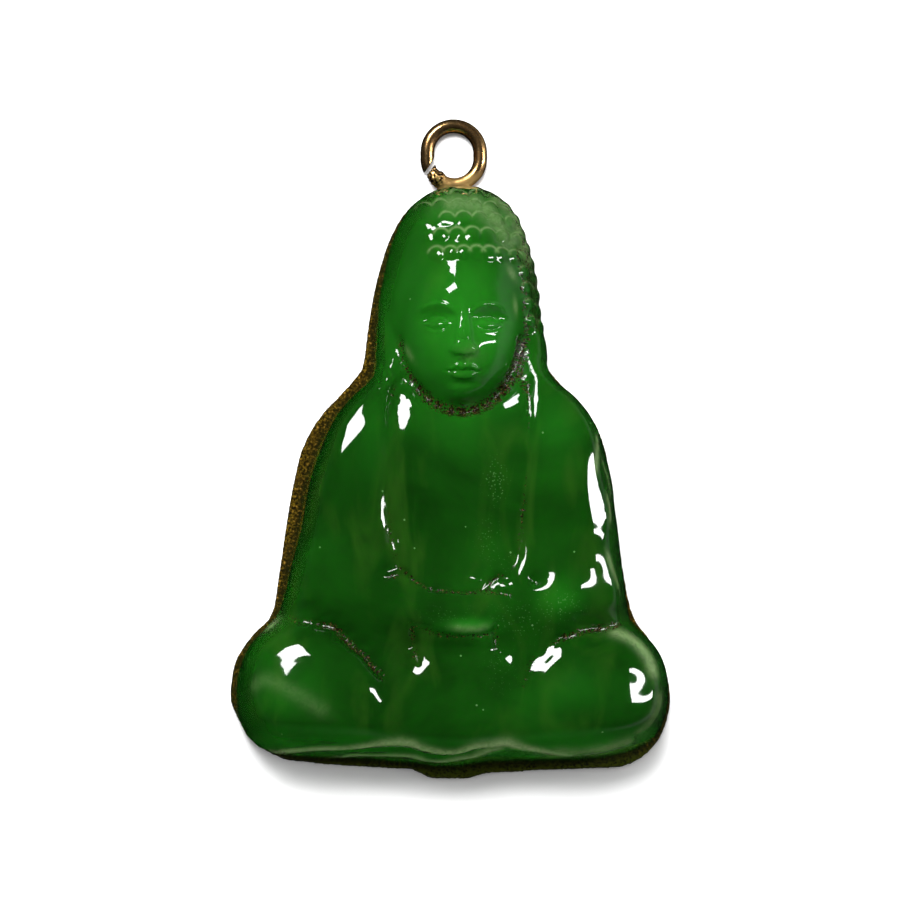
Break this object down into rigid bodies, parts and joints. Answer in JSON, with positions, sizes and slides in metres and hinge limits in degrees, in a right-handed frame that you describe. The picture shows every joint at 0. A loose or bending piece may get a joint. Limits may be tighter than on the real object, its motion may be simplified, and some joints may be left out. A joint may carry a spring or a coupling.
{
  "type": "glass buddha pendant",
  "caption": "Seated figure moulded in translucent green glass, on a flat brass backing plate with a soldered wire hanging eye.",
  "frame": {"origin": "centre of the pendant's outline, on the surface that its back lies on", "axes": "+X across the knees to the viewer's right, +Y from the shins to the hanging eye, +Z out of the back towards the viewer"},
  "size_m": [0.0338, 0.0512, 0.0107],
  "materials": {
    "green_glass": "polished, cloudy jade green",
    "aged_brass": "aged gilt, dark and grainy at the plate's edge"
  },
  "bodies": {
    "root": {"glass_figure": "green_glass", "brass_backing": "aged_brass"}
  },
  "joints": []
}
